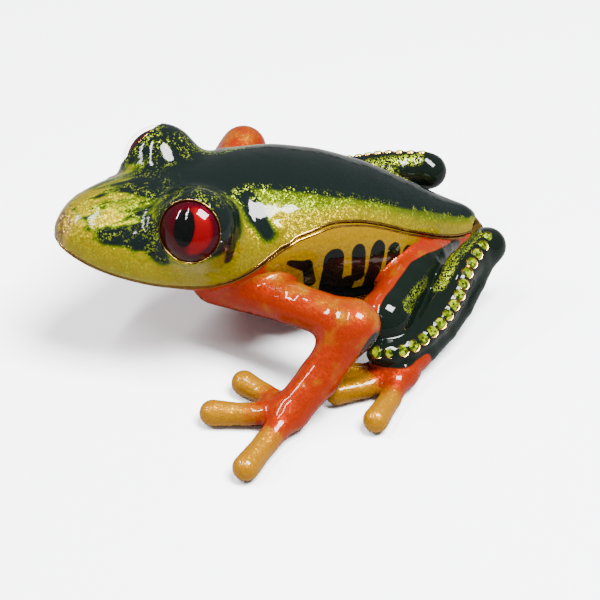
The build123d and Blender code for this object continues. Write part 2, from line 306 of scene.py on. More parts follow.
def monotone_curve(knots, values, where):
    """Smooth curve through the knots that never overshoots them."""
    steps = np.diff(knots)
    slopes = np.diff(values) / steps
    tangents = np.zeros(len(knots))
    same = slopes[:-1] * slopes[1:] > 0
    weights = 2 * steps[1:] + steps[:-1], steps[1:] + 2 * steps[:-1]
    harmonic = (weights[0] + weights[1]) / (
        weights[0] / np.where(same, slopes[:-1], 1) + weights[1] / np.where(same, slopes[1:], 1))
    tangents[1:-1] = np.where(same, harmonic, 0)
    tangents[0], tangents[-1] = slopes[0], slopes[-1]
    index = np.clip(np.searchsorted(knots, where) - 1, 0, len(steps) - 1)
    t = (np.clip(where, knots[0], knots[-1]) - knots[index]) / steps[index]
    return hermite(t, steps[index], values[index], values[index + 1], tangents[index], tangents[index + 1])


TABLE_Y = np.linspace(-44, 44, 1761)
station_y = BODY_STATIONS[:, 0]
# Squares are interpolated, so that the snout and the rump close round.
table_width = np.sqrt(np.maximum(monotone_curve(station_y, BODY_STATIONS[:, 1] ** 2, TABLE_Y), 0.01))
table_rise = np.sqrt(np.maximum(
    monotone_curve(station_y, (BODY_STATIONS[:, 2] - BODY_STATIONS[:, 4]) ** 2, TABLE_Y), 0.01))
table_drop = np.sqrt(np.maximum(
    monotone_curve(station_y, (BODY_STATIONS[:, 4] - BODY_STATIONS[:, 3]) ** 2, TABLE_Y), 0.01))
table_middle = monotone_curve(station_y, BODY_STATIONS[:, 4], TABLE_Y)
table_seam = monotone_curve(SEAM[:, 0], SEAM[:, 1], TABLE_Y)
# A running mean over 3 mm takes the last corners out of the parting line.
MEAN_STEPS = 61
table_seam = np.pad(table_seam, MEAN_STEPS // 2, mode="edge")
table_seam = np.convolve(table_seam, np.ones(MEAN_STEPS) / MEAN_STEPS, mode="valid")
seam_slope = np.gradient(table_seam, TABLE_Y)


def along(table, y):
    """A tabled quantity at distances behind the middle."""
    return np.interp(y, TABLE_Y, table)


def oval(x, y, z):
    """Shape function of the body: 0 on its skin, in proportion to its section outside it."""
    middle = along(table_middle, y)
    height = np.where(z > middle, along(table_rise, y), along(table_drop, y))
    across = x / along(table_width, y)
    up = (z - middle) / height
    return np.sqrt(across * across + up * up + 1e-9) - 1


def body_distance(p):
    """Distance from the body's skin, good close to it."""
    x, y, z = p[..., 0], p[..., 1], p[..., 2]
    step = 0.05
    value = oval(x, y, z)
    slope = np.sqrt(
        ((oval(x + step, y, z) - oval(x - step, y, z)) / (2 * step)) ** 2
        + ((oval(x, y + step, z) - oval(x, y - step, z)) / (2 * step)) ** 2
        + ((oval(x, y, z + step) - oval(x, y, z - step)) / (2 * step)) ** 2)
    ends = np.maximum(station_y[0] - y, y - station_y[-1])
    return np.maximum(value / np.maximum(slope, 0.02), ends)


def above_seam(p):
    """Height above the parting surface, measured square to it."""
    rise = p[..., 2] - along(table_seam, p[..., 1])
    return rise / np.sqrt(1 + along(seam_slope, p[..., 1]) ** 2)


def ball_distance(p, centre, radius):
    return np.linalg.norm(p - np.array(centre), axis=-1) - radius


def cone_distance(p, start, end):
    """Distance from a round cone between two (centre, radius) ends."""
    a, b = np.array(start[0], float), np.array(end[0], float)
    ra, rb = start[1], end[1]
    axis = b - a
    length2 = axis @ axis
    rr = ra - rb
    a2 = length2 - rr * rr
    il2 = 1 / length2
    pa = p - a
    y = pa @ axis
    z = y - length2
    cross = pa * length2 - y[..., None] * axis
    x2 = np.einsum("...i,...i->...", cross, cross)
    y2 = y * y * length2
    z2 = z * z * length2
    k = np.sign(rr) * rr * rr * x2
    far = np.sign(z) * a2 * z2 > k
    near = np.sign(y) * a2 * y2 < k
    side = (np.sqrt(np.maximum(x2 * a2 * il2, 0)) + y * rr) * il2 - ra
    return np.where(far, np.sqrt(x2 + z2) * il2 - rb, np.where(near, np.sqrt(x2 + y2) * il2 - ra, side))


def smooth_min(a, b, blend):
    """Union of two distances with a fillet."""
    h = np.maximum(blend - np.abs(a - b), 0) / blend
    return np.minimum(a, b) - h * h * blend / 4


def smooth_max(a, b, blend):
    """Common part of two distances with a rounded edge."""
    return -smooth_min(-a, -b, blend)


def chain_distance(p, stations, blend=1.0):
    """Limb of round cones through its stations."""
    result = cone_distance(p, stations[0], stations[1])
    for start, end in zip(stations[1:-1], stations[2:]):
        result = smooth_min(result, cone_distance(p, start, end), blend)
    return result


def curve_points(knots, count):
    """Evenly spaced points on a smooth curve through knots."""
    chords = np.concatenate([[0], np.cumsum(np.linalg.norm(np.diff(knots, axis=0), axis=1))])
    tangents = np.gradient(knots, chords, axis=0)
    fine = np.linspace(0, chords[-1], 400)
    index = np.clip(np.searchsorted(chords, fine) - 1, 0, len(chords) - 2)
    h = (chords[index + 1] - chords[index])[:, None]
    t = (fine - chords[index])[:, None] / h
    smooth = hermite(t, h, knots[index], knots[index + 1], tangents[index], tangents[index + 1])
    length = np.concatenate([[0], np.cumsum(np.linalg.norm(np.diff(smooth, axis=0), axis=1))])
    wanted = np.linspace(0, length[-1], count)
    return np.stack([np.interp(wanted, length, smooth[:, axis]) for axis in range(3)], 1)


def limb_distance(p, stations, count):
    """Limb swept smoothly through its stations."""
    centres = np.array([centre for centre, radius in stations], float)
    radii = np.array([radius for centre, radius in stations], float)
    reach = np.concatenate([[0], np.cumsum(np.linalg.norm(np.diff(centres, axis=0), axis=1))])
    smooth = curve_points(centres, count)
    thick = monotone_curve(reach, radii, np.linspace(0, reach[-1], count))
    return chain_distance(p, list(zip(smooth, thick)), 0.3)


def mirrored(p):
    """Both sides folded onto the left one."""
    q = p.copy()
    q[..., 0] = np.abs(q[..., 0])
    return q


# ------------------------------------------------------------------ the sculpted forms
def hood_distance(q):
    return ball_distance(q, EYE_CENTRE - EYE_LOOK * HOOD_DEPTH, HOOD_RADIUS)


def skin_distance(p):
    """The whole outer skin of head, back and belly, both eye hoods included."""
    q = mirrored(p)
    skin = smooth_min(body_distance(q), hood_distance(q), HOOD_BLEND)
    belly = smooth_min(cone_distance(p, *BELLY), cone_distance(p * (-1, 1, 1), *BELLY), BELLY_MIDDLE_BLEND)
    skin = smooth_min(skin, belly, BELLY_BLEND)
    for centre, radius in BOSSES:
        skin = smooth_min(skin, ball_distance(q, centre, radius), BOSS_BLEND)
    return skin


def from_axis(p, centre, axis):
    """How far points lie along an axis through a centre, and how far off it."""
    r = p - centre
    axial = r @ axis
    return axial, np.sqrt(np.maximum(np.einsum("...i,...i->...", r, r) - axial ** 2, 0))


def eye_pocket(q):
    """Round pocket that the glass and its bezel sit in."""
    height, across = from_axis(q, EYE_CENTRE, EYE_LOOK)
    return np.maximum(across - (BEZEL_OUTER - BEZEL_LAP), -(height + GLASS_RIM + BEZEL_DEPTH))


def magnet_pocket(p, side):
    """Round pocket of the closing magnet on one side of the parting surface: 1 above it, -1 below it."""
    axial, across = from_axis(p, MAGNET_SPOT, MAGNET_AXIS)
    return np.maximum(across - MAGNET_RADIUS - MAGNET_PLAY, side * axial - MAGNET_DEPTH)


def hinge_trough(p):
    return np.hypot(p[..., 1] - HINGE_Y, p[..., 2] - HINGE_Z) - HINGE_TROUGH


def hollow_distance(p, wall):
    ends = np.maximum(HOLLOW_FRONT - p[..., 1], p[..., 1] - HOLLOW_BACK)
    return smooth_max(body_distance(p) + wall, ends, 1.5)


def lid_distance(p):
    q = mirrored(p)
    lid = np.maximum(skin_distance(p), SEAM_GAP / 2 - above_seam(p))
    lid = np.maximum(lid, -hollow_distance(p, LID_WALL))
    lid = np.maximum(lid, -eye_pocket(q))
    lid = np.maximum(lid, -magnet_pocket(p, 1))
    return np.maximum(lid, -hinge_trough(p))


def base_distance(p):
    base = np.maximum(skin_distance(p), SEAM_GAP / 2 + above_seam(p))
    base = np.maximum(base, -hollow_distance(p, BASE_WALL))
    base = np.maximum(base, -magnet_pocket(p, -1))
    return np.maximum(base, -hinge_trough(p))


def fitted_leg(q, leg, fillet):
    """A leg soldered to the body with a fillet, and kept clear of the lid."""
    skin = skin_distance(q)
    joined = smooth_min(leg, skin + FILLET_SINK, fillet)
    joined = np.maximum(joined, -(skin + ROOT_DEPTH))
    joined = np.maximum(joined, leg - FILLET_REACH * fillet)
    lid_zone = np.maximum(body_distance(q) - LID_CLEAR_OUT, -(above_seam(q) + LID_CLEAR_DOWN))
    joined = np.maximum(joined, -lid_zone)
    return smooth_max(joined, -q[..., 2], SOLE_ROUND)


def front_leg_distance(q):
    leg = smooth_min(chain_distance(q, ARM[:3], 0.8), chain_distance(q, ARM[2:], 0.8), ELBOW_BLEND)
    for toe in FRONT_TOES:
        leg = smooth_min(leg, chain_distance(q, toe, 0.6), 1.4)
    return fitted_leg(q, leg, FRONT_LEG_FILLET)


STONE_SEAT = [(spot - STONE_FACING * SEAT_DROP, SEAT_RADIUS) for spot in curve_points(STONE_CURVE, 11)]


def hind_leg_distance(q):
    thigh = smooth_min(limb_distance(q, THIGH, 7), ball_distance(q, *KNEE), 1.5)
    shin = smooth_min(limb_distance(q, SHIN, 10), ball_distance(q, *HEEL), 1.2)
    shin = smooth_min(shin, chain_distance(q, STONE_SEAT, 0.3), 1.6)
    leg = smooth_min(thigh, shin, 0.7)
    foot = smooth_min(limb_distance(q, TARSUS, 6), ball_distance(q, *FOOT), 1.0)
    leg = smooth_min(leg, foot, 0.9)
    for toe in HIND_TOES:
        leg = smooth_min(leg, chain_distance(q, toe, 0.6), 1.3)
    return fitted_leg(q, leg, HIND_LEG_FILLET)


# ------------------------------------------------------------------ fields to meshes
# Distances are cut off at the limit; points settle in rounds, each move a share of a voxel at most.
FIELD_LIMIT = 10.0
SETTLING_ROUNDS = 3
LONGEST_MOVE = 0.4


def gradient(field, points):
    """Direction in which a field grows."""
    step = 0.03
    result = np.zeros_like(points)
    for axis in range(3):
        shift = np.zeros(3)
        shift[axis] = step
        result[:, axis] = (field(points + shift) - field(points - shift)) / (2 * step)
    return result


def largest_island(count, quads):
    """Which points belong to the largest connected part."""
    label = np.arange(count)
    while True:
        lowest = label[quads].min(axis=1)
        fresh = label.copy()
        for corner in range(4):
            np.minimum.at(fresh, quads[:, corner], lowest)
        fresh = fresh[fresh]
        if np.array_equal(fresh, label):
            return label == np.bincount(label).argmax()
        label = fresh


def skin_mesh(name, field, low, high):
    """Closed mesh of a field's zero surface, its points settled on the field itself."""
    axes = [np.arange(a, b + VOXEL, VOXEL) for a, b in zip(low, high)]
    values = np.empty([len(a) for a in axes], np.float32)
    for index, x in enumerate(axes[0]):
        plane = np.empty((len(axes[1]), len(axes[2]), 3))
        plane[..., 0] = x
        plane[..., 1] = axes[1][:, None]
        plane[..., 2] = axes[2][None, :]
        values[index] = field(plane)
    grid = openvdb.FloatGrid(FIELD_LIMIT)
    grid.copyFromArray(np.clip(values, -FIELD_LIMIT, FIELD_LIMIT).astype(np.float32))
    points, quads = grid.convertToQuads(isovalue=0.0)
    quads = np.asarray(quads)[:, ::-1]
    kept = largest_island(len(points), quads)
    quads = (np.cumsum(kept) - 1)[quads[kept[quads[:, 0]]]]
    points = np.asarray(points, float)[kept] * VOXEL + np.array([a[0] for a in axes])
    for _ in range(SETTLING_ROUNDS):
        value = field(points)
        slope = gradient(field, points)
        size = np.maximum(np.einsum("ij,ij->i", slope, slope), 0.05)
        move = -slope * (value / size)[:, None]
        length = np.linalg.norm(move, axis=1)
        move *= np.minimum(1, LONGEST_MOVE * VOXEL / np.maximum(length, 1e-9))[:, None]
        points += move
    mesh = bpy.data.meshes.new(name)
    mesh.from_pydata((points * MM).tolist(), [], quads.tolist())
    mesh.validate()
    mesh.update()
    return add_object(name, mesh), points


def smooth_by_angle(piece, degrees=35):
    """Smooth shading that keeps creases sharper than an angle."""
    mesh = piece.data
    mesh.polygons.foreach_set("use_smooth", np.ones(len(mesh.polygons), bool))
    mesh.set_sharp_from_angle(angle=math.radians(degrees))


def set_attribute(piece, name, values):
    """Per-point number that the materials read."""
    layer = piece.data.attributes.new(name, "FLOAT", "POINT")
    layer.data.foreach_set("value", np.asarray(values, np.float32))


def mirror_piece(piece, name):
    """Mirror image of a piece on the frog's right."""
    mesh = piece.data.copy()
    mesh.name = name
    other = add_object(name, mesh)
    work = bmesh.new()
    work.from_mesh(mesh)
    for vertex in work.verts:
        vertex.co.x = -vertex.co.x
    bmesh.ops.reverse_faces(work, faces=work.faces)
    work.to_mesh(mesh)
    work.free()
    return other


def finish_piece(piece, body, material, nodes=()):
    """Put a piece on its body, with its finish and the CAD nodes that it stands for."""
    piece.data.materials.clear()
    piece.data.materials.append(material)
    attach(piece, body)
    if nodes:
        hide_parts(*nodes)


# ------------------------------------------------------------------ materials
class Graph:
    """Short way to write a material's nodes."""

    def __init__(self, name):
        self.material = bpy.data.materials.new(name)
        self.material.use_nodes = True
        self.tree = self.material.node_tree
        self.shader = self.tree.nodes["Principled BSDF"]
        self.output = self.tree.nodes["Material Output"]

    def link(self, value, socket):
        if isinstance(value, (int, float)):
            socket.default_value = value
        elif isinstance(value, tuple):
            socket.default_value = value if len(value) == len(socket.default_value) else (*value, 1)
        else:
            self.tree.links.new(value, socket)

    def node(self, kind, output=0, inputs=(), **settings):
        made = self.tree.nodes.new(kind)
        for key, value in settings.items():
            setattr(made, key, value)
        for key, value in dict(inputs).items():
            self.link(value, made.inputs[key])
        return made.outputs[output]

    def attribute(self, name):
        return self.node("ShaderNodeAttribute", output="Fac", attribute_name=name)

    def place(self):
        return self.node("ShaderNodeTexCoord", output="Object")

    def vector(self, operation, *inputs):
        output = "Value" if operation == "LENGTH" else "Vector"
        return self.node("ShaderNodeVectorMath", output=output, inputs=dict(enumerate(inputs)),
                         operation=operation)

    def math(self, operation, a, b=0.0, clamp=False):
        return self.node("ShaderNodeMath", inputs={0: a, 1: b}, operation=operation, use_clamp=clamp)

    def times(self, a, b):
        return self.math("MULTIPLY", a, b)

    def noise(self, scale, detail=3.0, stretch=None):
        """Noise whose scale counts features per millimetre."""
        vector = self.place()
        if stretch:
            vector = self.node("ShaderNodeMapping", inputs={"Vector": vector, "Scale": stretch})
        return self.node("ShaderNodeTexNoise",
                         inputs={"Vector": vector, "Scale": scale / MM, "Detail": detail})

    def ramp(self, factor, stops):
        made = self.tree.nodes.new("ShaderNodeValToRGB")
        self.link(factor, made.inputs[0])
        elements = made.color_ramp.elements
        while len(elements) < len(stops):
            elements.new(0.5)
        for element, (position, colour) in zip(elements, stops):
            element.position = position
            element.color = (*colour, 1)
        return made.outputs[0]

    def span(self, value, low, high):
        """0 at low to 1 at high, clamped and smooth."""
        return self.node("ShaderNodeMapRange", inputs={"Value": value, "From Min": low, "From Max": high},
                         interpolation_type="SMOOTHSTEP")

    def mix(self, factor, a, b):
        return self.node("ShaderNodeMix", output=2, inputs={0: factor, 6: a, 7: b}, data_type="RGBA")

    def set(self, **values):
        for key, value in values.items():
            self.link(value, self.shader.inputs[key.replace("_", " ")])

    def bump(self, height, strength, distance):
        return self.node("ShaderNodeBump",
                         inputs={"Height": height, "Strength": strength, "Distance": distance * MM})


# Colours are deep because the studio light is strong.
YELLOW = (0.165, 0.126, 0.0)
LIME = (0.062, 0.085, 0.0)
GREEN = (0.012, 0.022, 0.0015)
BLACK_GREEN = (0.0022, 0.0042, 0.0036)
FLANK_GOLD = (0.130, 0.072, 0.0)
BAR_BLACK = (0.0015, 0.002, 0.0015)
ORANGE = (0.150, 0.0088, 0.0)
AMBER = (0.175, 0.072, 0.0)
GOLD = (0.34, 0.20, 0.045)
LIME_FLAKE = (0.30, 0.38, 0.004)
GREEN_FLAKE = (0.28, 0.36, 0.004)
AMBER_FLAKE = (0.36, 0.17, 0.0)
FLAKE_COVER = 0.85
FRONT_LEG_BAND = (0.0060, 0.0075, 0.0070)
HIND_LEG_BLACK = (0.0018, 0.0036, 0.0024)
# Facet colours of the stones, from painted shade to painted reflection.
STONE_SHADED_FACET = (0.006, 0.012, 0.0)
STONE_GREEN = (0.05, 0.078, 0.0)
STONE_LIT_FACET = (0.24, 0.31, 0.002)
# Red of the iris in painted shade and in painted light, where light through the glass falls on it.
IRIS_SHADE = (0.022, 0.0, 0.001)
IRIS_LIT_RED = (0.090, 0.0, 0.001)
IRIS_BORDER = (0.018, 0.0002, 0.002)
PUPIL = (0.0008, 0.0010, 0.0010)
FLAKES_PER_MM = 5.0
COAT_IOR = 1.3
FOIL_DEPTH = 0.22


def flakes(g, per_mm):
    """Three random numbers for each small cell."""
    return g.node("ShaderNodeTexVoronoi", output="Color", inputs={"Vector": g.place(), "Scale": per_mm / MM})


def enamel(g, colour, metallic, rough, tilt, relief=0.0):
    """Glassy clear coat over a coloured layer whose metal flakes lie a little askew."""
    askew = g.vector("MULTIPLY_ADD", flakes(g, FLAKES_PER_MM), (2 * tilt,) * 3, (-tilt,) * 3)
    foil = g.bump(g.noise(1.3, 3.0), 0.7, FOIL_DEPTH)
    normal = g.vector("NORMALIZE", g.vector("ADD", foil, askew))
    g.set(Base_Color=colour, Metallic=metallic, Roughness=rough, Specular_IOR_Level=0.0, Coat_Weight=1.0,
          Coat_Roughness=0.05, Coat_IOR=COAT_IOR, Normal=normal)
    waves = g.math("ADD", g.noise(0.28, 2.0), relief)
    g.set(Coat_Normal=g.bump(waves, 0.5, 0.28))
    return g.material


def lid_material():
    """Translucent glitter enamel: yellow at the rim and snout, lime, then near-black on the back."""
    g = Graph("lid_enamel")
    dark = g.attribute("dark")
    engraved = g.attribute("engraved")
    cloud = g.math("SUBTRACT", g.noise(0.22, 4.0), 0.5)
    streak = g.math("SUBTRACT", g.noise(1.1, 4.0, stretch=(1.0, 0.13, 1.0)), 0.5)
    grooves = g.times(streak, engraved)
    wave = g.math("ADD", g.times(cloud, 0.22), g.times(grooves, 4.4))
    depth = g.math("ADD", dark, g.times(wave, g.math("SUBTRACT", 1.08, dark)))
    colour = g.ramp(depth, [(0.0, YELLOW), (0.32, LIME), (0.60, GREEN), (0.86, BLACK_GREEN)])
    pick = g.node("ShaderNodeSeparateColor", inputs={0: flakes(g, FLAKES_PER_MM)})
    patches = g.times(g.attribute("glitter"), g.span(g.noise(0.55, 2.0), 0.42, 0.66))
    bright = g.times(g.math("GREATER_THAN", pick, 0.78), patches)
    colour = g.mix(g.times(bright, FLAKE_COVER), colour, LIME_FLAKE)
    worn = g.times(g.attribute("bare"), g.span(g.noise(1.4, 4.0), 0.40, 0.50))
    bare = g.math("MAXIMUM", worn, g.attribute("inside"))
    colour = g.mix(bare, colour, GOLD)
    shine = g.times(g.span(depth, 0.95, 0.40), 0.55)
    metallic = g.math("MAXIMUM", g.math("MAXIMUM", shine, bright), bare)
    return enamel(g, colour, metallic, 0.36, 0.32, grooves)


def base_material():
    """Orange-red throat and belly, golden flank with dark rounded bars."""
    g = Graph("base_enamel")
    cloud = g.math("SUBTRACT", g.noise(0.25, 3.0), 0.5)
    flank = g.span(g.math("ADD", g.attribute("flank"), g.times(cloud, 0.35)), 0.25, 0.75)
    colour = g.mix(flank, ORANGE, FLANK_GOLD)
    bars = g.span(g.math("ADD", g.attribute("bars"), g.times(cloud, 0.5)), -0.12, 0.12)
    colour = g.mix(bars, colour, BAR_BLACK)
    inside = g.attribute("inside")
    colour = g.mix(inside, colour, GOLD)
    foil = g.times(g.math("SUBTRACT", flank, bars, clamp=True), 0.2)
    metallic = g.math("MAXIMUM", foil, inside)
    return enamel(g, colour, metallic, 0.4, 0.16)


def leg_material(name, upper, root):
    """Glossy leg enamel, with the colour of its toes and of its upper part."""
    g = Graph(name)
    cloud = g.math("SUBTRACT", g.noise(0.3, 3.0), 0.5)
    # The toes mask also carries the painted highlight on the top of the front elbow.
    toes = g.span(g.math("ADD", g.attribute("toes"), g.times(cloud, 0.9)), 0.1, 0.8)
    colour = g.mix(toes, root, AMBER)
    colour = g.mix(g.times(g.span(cloud, 0.02, 0.22), 0.35), colour, AMBER)
    band = g.span(g.math("ADD", g.attribute("band"), g.times(cloud, 0.12)), 0.30, 0.70)
    colour = g.mix(band, colour, upper)
    pick = g.node("ShaderNodeSeparateColor", inputs={0: flakes(g, FLAKES_PER_MM)})
    # The glitter mask lays lime flakes; on the hind leg they are partly painted highlights along its edges.
    bright = g.times(g.math("GREATER_THAN", pick, 0.6), g.attribute("glitter"))
    colour = g.mix(g.times(bright, FLAKE_COVER), colour, GREEN_FLAKE)
    spark = g.times(g.math("GREATER_THAN", pick, 0.90), toes)
    colour = g.mix(g.times(spark, 0.6), colour, AMBER_FLAKE)
    metallic = g.math("MAXIMUM", bright, g.times(g.math("SUBTRACT", 1.0, band), 0.3))
    metallic = g.math("MAXIMUM", metallic, g.times(spark, 0.8))
    return enamel(g, colour, metallic, 0.4, 0.14)


def gold_material():
    """Polished plating with faint wear."""
    g = Graph("gold_plate")
    wear = g.noise(0.6, 4.0)
    colour = g.ramp(wear, [(0.3, (0.20, 0.105, 0.018)), (0.7, (0.42, 0.25, 0.06))])
    g.set(Base_Color=colour, Metallic=1.0, Roughness=g.math("ADD", 0.14, g.times(wear, 0.16)),
          Normal=g.bump(g.noise(3.0), 0.15, 0.05))
    return g.material


def magnet_material():
    """Bright nickel plate."""
    g = Graph("magnet")
    grain = g.noise(2.0, 3.0)
    g.set(Base_Color=g.ramp(grain, [(0.3, (0.14, 0.14, 0.15)), (0.7, (0.24, 0.24, 0.25))]), Metallic=1.0,
          Roughness=0.28)
    return g.material


def stone_material():
    """Foil-backed peridot green, each facet painted a random shade from dark to bright as a painted
    reflection of the light it catches.
    """
    g = Graph("green_stone")
    facet = g.attribute("facet")
    colour = g.ramp(facet, [(0.0, STONE_SHADED_FACET), (0.45, STONE_GREEN), (1.0, STONE_LIT_FACET)])
    g.set(Base_Color=colour, Metallic=0.4, Roughness=0.14, Specular_IOR_Level=0.3)
    return g.material


def iris_material():
    """Red foil iris in a dark maroon border, with painted light: brighter on the side behind the round black
    pupil and painted shade on the other side.
    """
    g = Graph("iris_enamel")
    across = g.attribute("eye_across")
    up = g.attribute("eye_up")

    def ring(middle, lift, wide, high):
        """Distance from a middle, in units of an oval's half width and half height."""
        x = g.math("DIVIDE", g.math("SUBTRACT", across, middle), wide)
        y = g.math("DIVIDE", g.math("SUBTRACT", up, lift), high)
        return g.vector("LENGTH", g.node("ShaderNodeCombineXYZ", inputs={0: x, 1: y}))

    border = g.span(ring(0.04, 0.05, 0.74, 0.78), 0.90, 1.08)
    # Painted light and shade: the iris red runs from shaded on one side to lit on the other.
    lit_and_shaded_red = g.mix(g.span(across, -0.10, 0.22), IRIS_SHADE, IRIS_LIT_RED)
    colour = g.mix(border, lit_and_shaded_red, IRIS_BORDER)
    colour = g.mix(g.span(ring(-0.10, 0.12, 0.36, 0.60), 1.03, 0.97), colour, PUPIL)
    g.set(Base_Color=colour, Metallic=0.3, Roughness=0.35, Specular_IOR_Level=0.0)
    return g.material


def glass_material():
    """Clear polished glass, thin enough to look straight through."""
    g = Graph("eye_glass")
    clear = g.node("ShaderNodeBsdfTransparent", inputs={"Color": (1.0, 0.97, 0.97)})
    gloss = g.node("ShaderNodeBsdfGlossy", inputs={"Color": (1, 1, 1), "Roughness": 0.02})
    facing = g.node("ShaderNodeFresnel", inputs={"IOR": 1.33})
    inner = g.node("ShaderNodeNewGeometry", output="Backfacing")
    facing = g.times(facing, g.math("SUBTRACT", 1.0, inner))
    mixed = g.node("ShaderNodeMixShader", inputs={0: facing, 1: clear, 2: gloss})
    g.tree.links.new(mixed, g.output.inputs["Surface"])
    return g.material


gold = gold_material()


# ------------------------------------------------------------------ lid and base
# Edge of the dark back: distance behind the middle, and how far out it lies in half widths.
BACK_EDGE = np.array([
    (-44, -0.3), (-30, -0.1), (-26, 0.10), (-22, 0.35), (-17, 0.50), (-12, 0.50), (-8, 0.42),
    (-1, 0.51), (6, 0.60), (13, 0.64), (21, 0.69), (30, 0.66), (44, 0.80),
])
# Dark tapering marks of the lid: start, end, their radii and the softness of their edge.
DARK_MARKS = [
    ((10.0, -11.7, 30.2), (14.4, -13.3, 27.6), 1.9, 1.5, 1.0),
    ((14.4, -13.3, 27.6), (13.9, -13.8, 23.2), 1.5, 0.5, 0.6),
    ((6.6, -8.2, 29.3), (10.2, -7.5, 27.0), 0.9, 0.7, 2.0),
    ((10.2, -7.5, 27.0), (12.5, -6.2, 24.6), 0.7, 0.4, 1.6),
    ((6.4, -31.2, 27.0), (9.2, -24.6, 27.2), 0.5, 2.0, 1.4),
    ((9.2, -24.6, 27.2), (11.2, -23.6, 24.6), 2.0, 0.9, 1.2),
]
# Dark bars on the flank, seen from the side: distance behind the middle, height and radius of both ends.
BARS = [
    ((-3.3, 19.3, 0.6), (-0.5, 17.9, 1.2)), ((-0.4, 18.3, 1.0), (0.1, 14.6, 1.0)),
    ((4.4, 17.8, 1.9), (3.6, 11.6, 2.1)), ((6.8, 12.0, 1.5), (6.0, 10.3, 1.7)),
    ((9.1, 17.6, 1.35), (8.9, 13.0, 1.2)), ((12.9, 16.3, 1.5), (11.2, 9.5, 1.4)),
    ((16.2, 14.7, 1.4), (14.6, 8.5, 1.4)), ((19.0, 13.2, 1.1), (18.0, 11.4, 0.8)),
    ((1.2, 9.8, 1.5), (13.6, 8.0, 1.5)),
]


def capsule_mask(q, start, end, start_radius, end_radius, soft):
    """1 inside a tapering capsule, falling to 0 over a soft edge."""
    return smoothstep(soft, 0, cone_distance(q, (start, start_radius), (end, end_radius)))


def paint_lid(piece, points):
    """Where the lid is dark, engraved, glittering and worn bare."""
    q = mirrored(points)
    height = above_seam(points)
    y = points[:, 1]
    across = q[:, 0] / along(table_width, y)
    edge = monotone_curve(BACK_EDGE[:, 0], BACK_EDGE[:, 1], y)
    back = smoothstep(edge + 0.06, edge - 0.05, across)
    beside = smoothstep(edge + 0.36, edge + 0.02, across)
    snout = smoothstep(5.0, 9.5, height) * smoothstep(-35, -22, y) * smoothstep(-12, -20, y)
    hood = smoothstep(1.6, -0.3, hood_distance(q)) * smoothstep(24.6, 26.6, q[:, 2])
    marks = [capsule_mask(q, *mark) for mark in DARK_MARKS]
    rim = smoothstep(0.8, 3.2 + 2.2 * smoothstep(-6, -14, y), height)
    beside = beside * (1 - 0.6 * smoothstep(-22, -30, y))
    dark = np.maximum.reduce([back, 0.46 * beside, 0.50 * snout, 0.97 * hood] + marks) * rim
    set_attribute(piece, "dark", dark)
    set_attribute(piece, "engraved", smoothstep(-18, -25, y) * smoothstep(3.5, 7.0, height))
    r = q - EYE_CENTRE
    crown = smoothstep(-1.0, 2.5, r @ np.array((-0.30, -0.45, 0.84))) * hood
    seam_of_back = smoothstep(0.16, 0.03, np.abs(across - edge - 0.05)) * smoothstep(-20, -8, y)
    glitter = np.maximum.reduce([0.65 * crown, seam_of_back, 0.35 * smoothstep(-16, -24, y)])
    set_attribute(piece, "glitter", glitter)
    set_attribute(piece, "bare", smoothstep(-34.4, -35.8, y) * smoothstep(3.6, 1.8, q[:, 0]))
    set_attribute(piece, "inside", body_distance(q) < -0.5)


def paint_base(piece, points):
    """Where the base's flank is golden and where its dark bars stand."""
    q = mirrored(points)
    y, z = points[:, 1], points[:, 2]
    flank = smoothstep(-9.5, -5.0, y) * smoothstep(25.0, 19.0, y) * smoothstep(4.5, 8.0, z)
    flank *= smoothstep(4.0, 7.5, q[:, 0])
    set_attribute(piece, "flank", flank)
    side = points.copy()
    side[:, 0] = 0
    bars = np.full(len(points), 9.0)
    for (y0, z0, r0), (y1, z1, r1) in BARS:
        bars = np.minimum(bars, cone_distance(side, ((0, y0, z0), r0), ((0, y1, z1), r1)))
    set_attribute(piece, "bars", np.where(q[:, 0] > 4, -bars, -1.0))
    set_attribute(piece, "inside", body_distance(q) < -0.5)


def rim_bead(name, offset):
    """Gold bead along the parting line, open at the hinge."""
    count = 240
    angles = np.linspace(0, 2 * np.pi, count, endpoint=False)
    directions = np.stack([np.sin(angles), np.cos(angles), np.zeros(count)], 1)
    low, high = np.zeros(count), np.full(count, 60.0)

    def on_seam(radius):
        spots = directions * radius[:, None]
        spots[:, 2] = along(table_seam, spots[:, 1]) + offset
        return spots

    for _ in range(30):
        middle = (low + high) / 2
        outside = skin_distance(on_seam(middle)) > -RIM_SINK
        high = np.where(outside, middle, high)
        low = np.where(outside, low, middle)
    spots = on_seam(low)
    clear = np.hypot(spots[:, 1] - HINGE_Y, spots[:, 2] - HINGE_Z) > HINGE_TROUGH + RIM_HINGE_GAP
    start = int(np.argmax(clear))
    spots = np.roll(spots, -start, axis=0)
    clear = np.roll(clear, -start)
    return tube(name, spots[clear], RIM_BEAD)


def tube(name, spots, radius, sides=10):
    """Round tube along points, its ends closed."""
    curve = bpy.data.curves.new(name, "CURVE")
    curve.dimensions = "3D"
    spline = curve.splines.new("POLY")
    spline.points.add(len(spots) - 1)
    spline.points.foreach_set("co", np.hstack([spots * MM, np.ones((len(spots), 1))]).ravel())
    curve.bevel_depth = radius * MM
    curve.bevel_resolution = sides // 4
    curve.use_fill_caps = True
    holder = add_object(name + "_path", curve)
    mesh = bpy.data.meshes.new_from_object(holder)
    bpy.data.objects.remove(holder)
    mesh.name = name
    piece = add_object(name, mesh)
    smooth_by_angle(piece, 50)
    return piece


lid, lid_points = skin_mesh("lid_skin", lid_distance, (-17, -39, 6), (17, 39, 36))
smooth_by_angle(lid)
paint_lid(lid, lid_points)
finish_piece(lid, "lid", lid_material(), ["lid_casting"])

